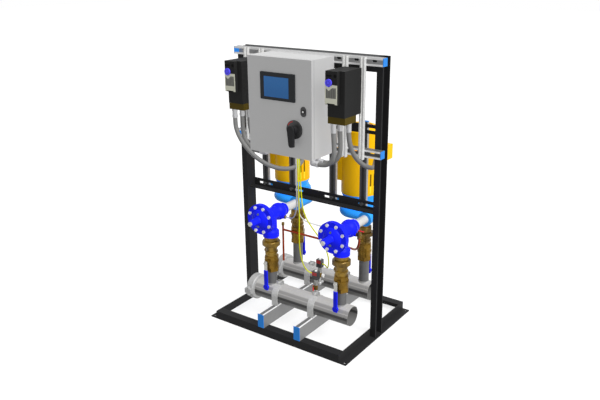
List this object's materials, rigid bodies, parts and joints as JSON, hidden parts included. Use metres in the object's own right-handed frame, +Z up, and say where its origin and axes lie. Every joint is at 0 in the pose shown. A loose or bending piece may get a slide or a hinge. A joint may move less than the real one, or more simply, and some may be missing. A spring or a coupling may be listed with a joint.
{
  "type": "booster pump set",
  "caption": "Twin vertical booster pumps on a steel portal stand with headers, angle control valves, two drives and a door-front control panel.",
  "frame": {"origin": "on the floor at the middle of the four anchor holes of the base frame", "axes": "+X to the right seen from the door side, +Y to the back, +Z up"},
  "size_m": [0.9806, 0.7426, 1.5875],
  "materials": {
    "frame_black": "satin",
    "zinc_strut": "satin",
    "cap_blue": "matte",
    "clamp_zinc": "satin",
    "pipe_steel": "satin",
    "brass": "satin",
    "valve_blue": "gloss",
    "steel": "satin",
    "pump_blue": "gloss",
    "motor_yellow": "gloss",
    "rotor_steel": "satin",
    "panel_grey": "satin",
    "panel_gear": "matte",
    "screen_black": "gloss",
    "drive_black": "matte",
    "gold_box": "satin",
    "dial_blue": "satin",
    "gland_grey": "satin",
    "sensor_black": "satin",
    "copper": "satin",
    "lever_blue": "satin",
    "lever_red": "satin",
    "knob_white": "satin",
    "conduit_grey": "satin",
    "cable_yellow": "satin",
    "cable_white": "satin"
  },
  "bodies": {
    "stand": {"base_rails": "frame_black", "uprights": "frame_black", "top_crossbar": "frame_black", "slotted_crossbars": "frame_black", "pump_posts": "zinc_strut", "panel_struts": "zinc_strut", "drive_rails": "zinc_strut", "header_struts": "zinc_strut", "pump_plates": "zinc_strut", "strut_end_caps": "cap_blue", "pipe_clamps": "clamp_zinc", "discharge_header": "pipe_steel", "suction_header": "pipe_steel", "end_couplings": "pipe_steel", "ball_valve_bodies": "brass", "pipe_fittings": "brass", "instrument_fittings": "brass", "control_valve_bodies": "valve_blue", "control_valve_covers": "valve_blue", "cover_bolts": "steel", "pump_casings": "pump_blue", "motor_adapters": "pump_blue", "motor_frames": "motor_yellow", "fan_cowls": "motor_yellow", "motor_boxes": "motor_yellow", "enclosure_body": "panel_grey", "panel_equipment": "panel_gear", "drive_bodies": "drive_black", "drive_keypads": "drive_black", "drive_gland_boxes": "gold_box", "cable_glands": "gland_grey", "pressure_transducers": "sensor_black", "copper_lines": "copper", "right_power_conduit": "conduit_grey", "right_signal_conduit": "conduit_grey", "right_motor_conduit": "conduit_grey", "left_motor_conduit": "conduit_grey", "left_power_conduit": "conduit_grey", "left_signal_conduit": "conduit_grey", "discharge_gauge_cable": "cable_yellow", "suction_gauge_cable": "cable_yellow", "valve_cable_1": "cable_white", "valve_cable_2": "cable_white"},
    "door": {"enclosure_door": "panel_grey", "touch_screen": "screen_black"},
    "door_lock": {"door_lock": "steel"},
    "disconnect_handle": {"disconnect_handle": "screen_black"},
    "discharge_lever_1": {"discharge_lever_1": "lever_blue"},
    "discharge_lever_2": {"discharge_lever_2": "lever_blue"},
    "suction_lever_1": {"suction_lever_1": "lever_blue"},
    "suction_lever_2": {"suction_lever_2": "lever_blue"},
    "pump_rotor_1": {"pump_rotor_1": "rotor_steel"},
    "pump_rotor_2": {"pump_rotor_2": "rotor_steel"},
    "gauge_cock_lever": {"gauge_cock_lever": "lever_red"},
    "gauge_cock_knob": {"gauge_cock_knob": "knob_white"},
    "pilot_cock_lever": {"pilot_cock_lever": "lever_red"},
    "drive_dial_left": {"drive_dial_left": "dial_blue"},
    "drive_dial_right": {"drive_dial_right": "dial_blue"},
    "control_valve_stem_1": {"control_valve_stem_1": "steel"},
    "control_valve_stem_2": {"control_valve_stem_2": "steel"}
  },
  "joints": [
    {"name": "door_swing", "type": "hinge", "parent": "stand", "child": "door", "pos_m": [-0.2022, -0.262, 1.071], "axis": [0, 0, -1], "range_deg": [0, 120]},
    {"name": "lock_turn", "type": "hinge", "parent": "door", "child": "door_lock", "pos_m": [0.1615, -0.2826, 1.32], "axis": [0, -1, 0], "range_deg": [0, 90]},
    {"name": "disconnect_turn", "type": "hinge", "parent": "door", "child": "disconnect_handle", "pos_m": [0.105, -0.2826, 1.222], "axis": [0, -1, 0], "range_deg": [0, 90]},
    {"name": "discharge_lever_1_turn", "type": "hinge", "parent": "stand", "child": "discharge_lever_1", "pos_m": [-0.152, -0.18, 0.3877], "axis": [0, -1, 0], "range_deg": [0, 90]},
    {"name": "discharge_lever_2_turn", "type": "hinge", "parent": "stand", "child": "discharge_lever_2", "pos_m": [0.331, -0.18, 0.3877], "axis": [0, -1, 0], "range_deg": [0, 90]},
    {"name": "suction_lever_1_turn", "type": "hinge", "parent": "stand", "child": "suction_lever_1", "pos_m": [-0.2005, 0.146, 0.4397], "axis": [0, 1, 0], "range_deg": [0, 90]},
    {"name": "suction_lever_2_turn", "type": "hinge", "parent": "stand", "child": "suction_lever_2", "pos_m": [0.2825, 0.146, 0.4397], "axis": [0, 1, 0], "range_deg": [0, 90]},
    {"name": "pump_rotor_1_spin", "type": "hinge", "parent": "stand", "child": "pump_rotor_1", "pos_m": [-0.2575, 0.175, 0.67], "axis": [0, 0, 1], "continuous": true},
    {"name": "pump_rotor_2_spin", "type": "hinge", "parent": "stand", "child": "pump_rotor_2", "pos_m": [0.2255, 0.175, 0.67], "axis": [0, 0, 1], "continuous": true},
    {"name": "gauge_cock_lever_turn", "type": "hinge", "parent": "stand", "child": "gauge_cock_lever", "pos_m": [0.102, -0.093, 0.24755], "axis": [-1, 0, 0], "range_deg": [0, 90]},
    {"name": "gauge_cock_knob_turn", "type": "hinge", "parent": "stand", "child": "gauge_cock_knob", "pos_m": [0.026, 0.059, 0.24755], "axis": [1, 0, 0], "range_deg": [0, 90]},
    {"name": "pilot_cock_lever_turn", "type": "hinge", "parent": "stand", "child": "pilot_cock_lever", "pos_m": [0.397, -0.108, 0.645], "axis": [0, 0, 1], "range_deg": [0, 90]},
    {"name": "drive_dial_left_turn", "type": "hinge", "parent": "stand", "child": "drive_dial_left", "pos_m": [-0.342, -0.276, 1.479], "axis": [0, -1, 0], "range_deg": [-150, 150]},
    {"name": "drive_dial_right_turn", "type": "hinge", "parent": "stand", "child": "drive_dial_right", "pos_m": [0.308, -0.276, 1.479], "axis": [0, -1, 0], "range_deg": [-150, 150]},
    {"name": "control_valve_1_lift", "type": "slide", "parent": "stand", "child": "control_valve_stem_1", "axis": [0, -1, 0], "range_m": [0, 0.014], "stiffness_N_per_m": 4000},
    {"name": "control_valve_2_lift", "type": "slide", "parent": "stand", "child": "control_valve_stem_2", "axis": [0, -1, 0], "range_m": [0, 0.014], "stiffness_N_per_m": 4000}
  ]
}
